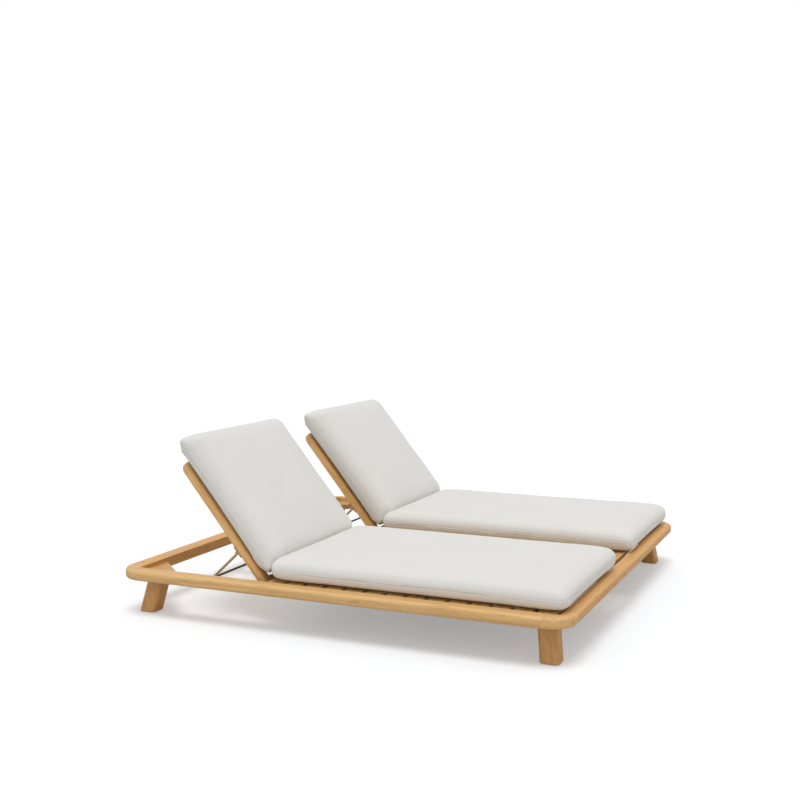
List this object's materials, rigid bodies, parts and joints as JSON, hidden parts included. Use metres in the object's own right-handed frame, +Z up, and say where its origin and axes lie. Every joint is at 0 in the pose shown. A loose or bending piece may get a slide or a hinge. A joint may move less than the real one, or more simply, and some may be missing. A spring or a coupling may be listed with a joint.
{
  "type": "double chaise lounger",
  "caption": "Low teak platform with a slatted deck, splayed legs and side-by-side reclining slatted backrests on metal props, with thick seat and back cushions.",
  "frame": {"origin": "on the floor under the middle of the platform frame", "axes": "+X towards the foot end, +Y towards the far lounger's side, +Z up"},
  "size_m": [2.05, 2.064, 0.8062],
  "materials": {
    "teak_frame": "satin",
    "teak_slats": "satin",
    "teak_legs": "satin",
    "cushion_cloth": "matte",
    "bronze_metal": "satin",
    "dark_bronze": "satin",
    "screws": "satin",
    "glides": "matte"
  },
  "bodies": {
    "platform": {"near_side_rail": "teak_frame", "far_side_rail": "teak_frame", "head_rail": "teak_frame", "foot_rail": "teak_frame", "corner_block_head_near": "teak_frame", "gusset_head_near": "teak_frame", "leg_head_near": "teak_legs", "corner_block_head_far": "teak_frame", "gusset_head_far": "teak_frame", "leg_head_far": "teak_legs", "corner_block_foot_near": "teak_frame", "gusset_foot_near": "teak_frame", "leg_foot_near": "teak_legs", "corner_block_foot_far": "teak_frame", "gusset_foot_far": "teak_frame", "leg_foot_far": "teak_legs", "foot_glides": "glides", "leg_studs": "screws", "deck_slat_01": "teak_slats", "deck_slat_02": "teak_slats", "deck_slat_03": "teak_slats", "deck_slat_04": "teak_slats", "deck_slat_05": "teak_slats", "deck_slat_06": "teak_slats", "deck_slat_07": "teak_slats", "deck_slat_08": "teak_slats", "deck_slat_09": "teak_slats", "deck_slat_10": "teak_slats", "deck_slat_11": "teak_slats", "deck_slat_12": "teak_slats", "deck_slat_13": "teak_slats", "deck_slat_14": "teak_slats", "deck_screws": "screws", "near_side_ledge": "teak_frame", "near_inner_bearer": "teak_frame", "far_side_ledge": "teak_frame", "far_inner_bearer": "teak_frame", "hinge_pins": "screws", "near_seat_cushion": "cushion_cloth", "far_seat_cushion": "cushion_cloth"},
    "near_backrest": {"near_back_rail_outer": "teak_frame", "near_back_rail_inner": "teak_frame", "near_back_rail_top": "teak_frame", "near_back_rail_bottom": "teak_frame", "near_back_slats": "teak_slats", "near_prop_brackets": "bronze_metal", "near_back_cushion": "cushion_cloth"},
    "near_prop": {"near_prop_arm_outer": "bronze_metal", "near_prop_arm_inner": "bronze_metal", "near_prop_bar": "dark_bronze"},
    "far_backrest": {"far_back_rail_outer": "teak_frame", "far_back_rail_inner": "teak_frame", "far_back_rail_top": "teak_frame", "far_back_rail_bottom": "teak_frame", "far_back_slats": "teak_slats", "far_prop_brackets": "bronze_metal", "far_back_cushion": "cushion_cloth"},
    "far_prop": {"far_prop_arm_outer": "bronze_metal", "far_prop_arm_inner": "bronze_metal", "far_prop_bar": "dark_bronze"}
  },
  "joints": [
    {"name": "near_recline", "type": "hinge", "parent": "platform", "child": "near_backrest", "pos_m": [-0.344, -0.5635, 0.177], "axis": [0, 1, 0], "range_deg": [-46, 0]},
    {"name": "near_prop_swing", "type": "hinge", "parent": "near_backrest", "child": "near_prop", "pos_m": [-0.4825, -0.5635, 0.29544], "axis": [0, 1, 0], "range_deg": [0, 94]},
    {"name": "far_recline", "type": "hinge", "parent": "platform", "child": "far_backrest", "pos_m": [-0.344, 0.5635, 0.177], "axis": [0, 1, 0], "range_deg": [-46, 0]},
    {"name": "far_prop_swing", "type": "hinge", "parent": "far_backrest", "child": "far_prop", "pos_m": [-0.4825, 0.5635, 0.29544], "axis": [0, 1, 0], "range_deg": [0, 94]}
  ],
  "couplings": [
    {"joint": "near_prop_swing", "follows": "near_recline", "ratio": -2.04},
    {"joint": "far_prop_swing", "follows": "far_recline", "ratio": -2.04}
  ]
}
